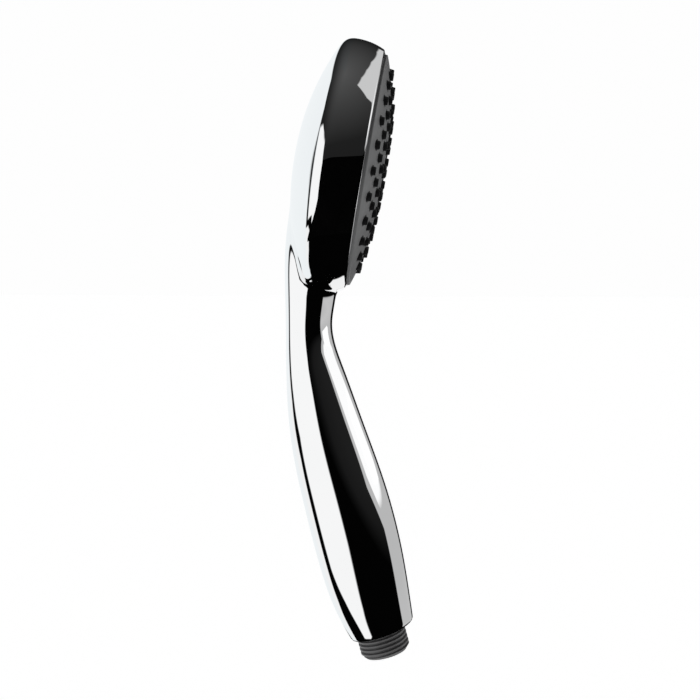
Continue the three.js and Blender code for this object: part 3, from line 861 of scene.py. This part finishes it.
def world():
    """A dark studio with a soft box on the left, a wall on the right and a pale wall behind."""
    tree = bpy.data.worlds.new("studio")
    tree.use_nodes = True
    bpy.context.scene.world = tree
    tree.node_tree.nodes.clear()
    n = Studio(tree.node_tree)

    # Edges of the panels that lean or bend, as (height, azimuth) in degrees.
    left_west = [(-50, -60), (-38, -74), (-31, -89), (-17, -92), (-12, -107)]
    left_west += [(-8, -123), (14, -131), (20, -116), (24, -92)]
    left_east = [(-50, -34), (-34, -21), (-20, -16), (-6, -17), (0, -40), (8, -54), (14, -60), (24, -67)]
    behind_west = [(-55, -145), (-41, -151), (-30, -156), (-16, -181)]
    behind_east = [(-50, -133), (-36, -108), (-20, -106), (-12, -118), (-8, -132), (18, -134), (24, -144)]
    wall_west = [(-30, 88), (0, 88), (6, 70), (18, 76), (30, 84), (40, 78), (48, 71), (70, 65)]
    wall_east = [(-30, 150), (5, 150), (14, 168), (70, 176)]
    bright_west = [(-2, 104), (8, 80), (24, 80)]
    bright_east = [(-2, 140), (8, 133), (24, 133)]
    low_west = [(-54, 160), (-22, 165)]
    rim_west = [(-22, 174), (6, 174)]

    # Tops that slope, as (azimuth, height).
    behind_top = n.along(n.azimuth, [(-180, 9), (-158, 17), (-141, 23), (-120, 23)], 0, 90)
    wall_top = n.along(n.azimuth, [(60, 66), (92, 66), (118, 61), (139, 52), (161, 33), (180, 8)], 0, 90)

    # Light that changes with height.
    wall = [(-22, 0.02), (-19, 0.50), (-15, 0.57), (-8, 0.50), (8, 0.50), (20, 0.60), (70, 0.60)]
    ceiling = [(-6, 0.0), (-3, 0.004), (0, 0.009), (7, 0.0125), (20, 0.0135), (54, 0.047), (90, 0.086)]
    panels = [
        n.panel(left_west, left_east, -50, 23, 0.98, soft=2.0),
        n.panel(behind_west, behind_east, -50, behind_top, 0.93),
        n.panel(wall_west, wall_east, -22, wall_top, n.along(n.height, wall, 0, 1)),
        n.panel(bright_west, bright_east, 3, 22, 1.04, soft=2.0),
        n.panel(low_west, None, -53, -22, 0.92),
        n.panel(rim_west, None, -22, 5, 0.98, soft=0.6),
    ]
    light = n.math("ADD", n.along(n.height, ceiling, 0, 0.1), 0.0008)
    for part in panels:
        light = n.math("MAXIMUM", light, part)

    # The light from behind is a little blue.
    tint = n.add("ShaderNodeCombineColor")
    for channel, share in ((0, 0.965), (1, 1.0), (2, 1.015)):
        cast = n.span(n.azimuth, -134, -122, share, 1.0)
        n.put(tint.inputs[channel], n.math("MULTIPLY", light, cast))
    around = n.add("ShaderNodeBackground")
    n.put(around.inputs["Color"], tint.outputs[0])

    # The camera sees plain white instead of the panels.
    backdrop = n.add("ShaderNodeBackground")
    backdrop.inputs["Color"].default_value = (0.99, 0.99, 0.99, 1)
    path = n.add("ShaderNodeLightPath")
    mix = n.add("ShaderNodeMixShader")
    n.put(mix.inputs[0], path.outputs["Is Camera Ray"])
    n.put(mix.inputs[1], around.outputs[0])
    n.put(mix.inputs[2], backdrop.outputs[0])
    out = n.add("ShaderNodeOutputWorld")
    n.put(out.inputs["Surface"], mix.outputs[0])


def floor():
    """Plain pale floor, well below the handset. The chrome doesn't show it."""
    size, level = 6000.0, -420.0
    corners = [(-size, -size, level), (size, -size, level), (size, size, level), (-size, size, level)]
    ground = new_object("studio_floor", corners, [(0, 1, 2, 3)])
    material, _, shader = new_material("pale_floor")
    shader.inputs["Base Color"].default_value = (0.55, 0.55, 0.55, 1)
    shader.inputs["Roughness"].default_value = 1.0
    shader.inputs["Specular IOR Level"].default_value = 0.0
    shader.inputs["Emission Color"].default_value = (1, 1, 1, 1)
    shader.inputs["Emission Strength"].default_value = 0.9
    wear(ground, material)
    ground.visible_glossy = False


def curved_card(name, radius, bottom, top, material):
    """Upright card curved round the handset, its edges given as (azimuth, height). Only mirrors see it."""
    centre = np.array([-20.0, 0.0])
    bottom, top = np.array(bottom), np.array(top)
    azimuths = np.unique(np.concatenate([np.arange(top[0, 0], top[-1, 0] + 1, 2), bottom[:, 0], top[:, 0]]))
    turn = np.radians(azimuths)
    x, y = centre[0] + radius * np.sin(turn), centre[1] - radius * np.cos(turn)
    low, high = (np.stack([x, y, np.interp(azimuths, *edge.T)], 1) for edge in (bottom, top))
    count = len(turn)
    faces = [(k, k + 1, count + k + 1, count + k) for k in range(count - 1)]
    card = new_object(name, np.concatenate([low, high]), faces)
    wear(card, material)
    card.visible_camera = False
    card.visible_diffuse = False
    card.visible_shadow = False


def card_material(name, one, two, light):
    """Matt card, near even, which glows if it has light."""
    material, n, shader = new_material(name)
    colour = n.blend_colours(n.noise(60), one, two)
    n.put(shader.inputs["Base Color"], colour)
    shader.inputs["Roughness"].default_value = 1.0
    shader.inputs["Specular IOR Level"].default_value = 0.0
    if light:
        n.put(shader.inputs["Emission Color"], colour)
        shader.inputs["Emission Strength"].default_value = light
    return material


def flag():
    """Black card close round the head's front. It trims the soft box to a strip and hides the ceiling."""
    bottom = [(-78, 153.0), (-52, 145.5), (-40, 143.5), (-10, 140.0), (40, 137.0), (60, 150.0), (90, 150.0)]
    top = [(-78, 157.0), (-64, 161.0), (-38, 170.0), (-26, 177.5), (-19, 186.0), (-17, 210.0), (90, 210.0)]
    black = card_material("black_card", (0.001, 0.001, 0.001), (0.003, 0.003, 0.003), 0.0)
    curved_card("studio_flag", 64.0, bottom, top, black)


def fill_card():
    """White card on the right. It carries the wall's bright band up to the neck."""
    bottom = [(95, 108.0), (124, 94.0), (130, 104.0)]
    top = [(95, 160.0), (130, 160.0)]
    white = card_material("white_card", (0.10, 0.10, 0.10), (0.11, 0.11, 0.11), 9.6)
    curved_card("studio_fill", 300.0, bottom, top, white)


def camera():
    """Beside the handset, a little above it and turned a little towards the spray face. In metres."""
    distance, azimuth, elevation = 0.620, math.radians(2.1), math.radians(7.5)
    aim = np.array([-0.01539, 0.0, 0.12898])
    away = np.array(
        [
            math.sin(azimuth) * math.cos(elevation),
            -math.cos(azimuth) * math.cos(elevation),
            math.sin(elevation),
        ]
    )
    data = bpy.data.cameras.new("camera")
    data.lens = 77.126
    data.sensor_width = 36.0
    eye = bpy.data.objects.new("camera", data)
    eye.location = aim + distance * away
    eye.rotation_euler = (math.pi / 2 - elevation, 0, azimuth)
    bpy.context.scene.collection.objects.link(eye)
    bpy.context.scene.camera = eye


camera()
world()
floor()
flag()
fill_card()
bpy.context.scene.view_settings.view_transform = "Standard"
body_shell()
face_plate()
nozzle_mat()
inlet_connector()
check_valve_spring()
dress_cad_nodes()
